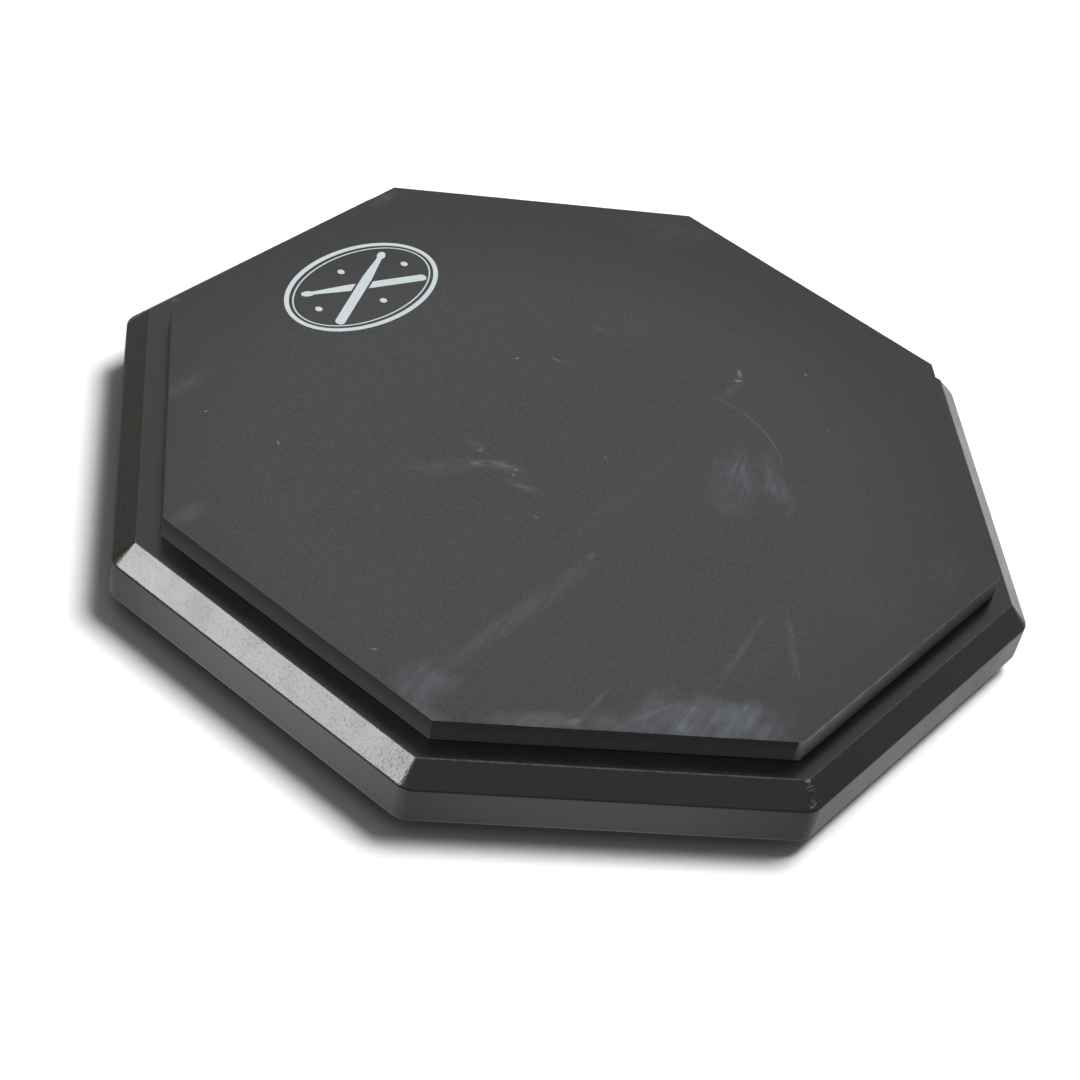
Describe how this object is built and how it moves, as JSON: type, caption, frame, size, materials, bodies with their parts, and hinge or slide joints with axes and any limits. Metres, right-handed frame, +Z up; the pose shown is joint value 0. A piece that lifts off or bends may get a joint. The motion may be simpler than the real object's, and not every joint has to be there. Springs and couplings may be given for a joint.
{
  "type": "practice pad",
  "caption": "Octagonal drum practice pad: a rubber playing sheet on a chamfered black fibreboard base, on rubber feet with a stand thread underneath.",
  "frame": {"origin": "on the floor, under the middle of the base, in the plane of the feet's bottoms", "axes": "+Z up out of the playing surface, +Y from the player to the flat with the printed emblem, +X to the player's right"},
  "size_m": [0.2794, 0.2794, 0.0328],
  "materials": {
    "base_paint": "fibreboard sprayed satin black, with a fine pebbled texture on the rim",
    "surface_rubber": "matt charcoal rubber sheet with faint chalky scuffs",
    "adhesive": "dried black contact adhesive",
    "emblem_ink": "pale grey pad-printed ink",
    "insert_zinc": "zinc-plated steel",
    "foot_rubber": "moulded black rubber",
    "washer_steel": "zinc-plated steel",
    "screw_steel": "bright zinc-plated steel"
  },
  "bodies": {
    "root": {"base_board": "base_paint", "playing_surface": "surface_rubber", "surface_adhesive": "adhesive", "printed_emblem": "emblem_ink", "stand_insert": "insert_zinc", "foot_front_left": "foot_rubber", "foot_washer_front_left": "washer_steel", "foot_screw_front_left": "screw_steel", "foot_front_right": "foot_rubber", "foot_washer_front_right": "washer_steel", "foot_screw_front_right": "screw_steel", "foot_rear_left": "foot_rubber", "foot_washer_rear_left": "washer_steel", "foot_screw_rear_left": "screw_steel", "foot_rear_right": "foot_rubber", "foot_washer_rear_right": "washer_steel", "foot_screw_rear_right": "screw_steel"}
  },
  "joints": []
}
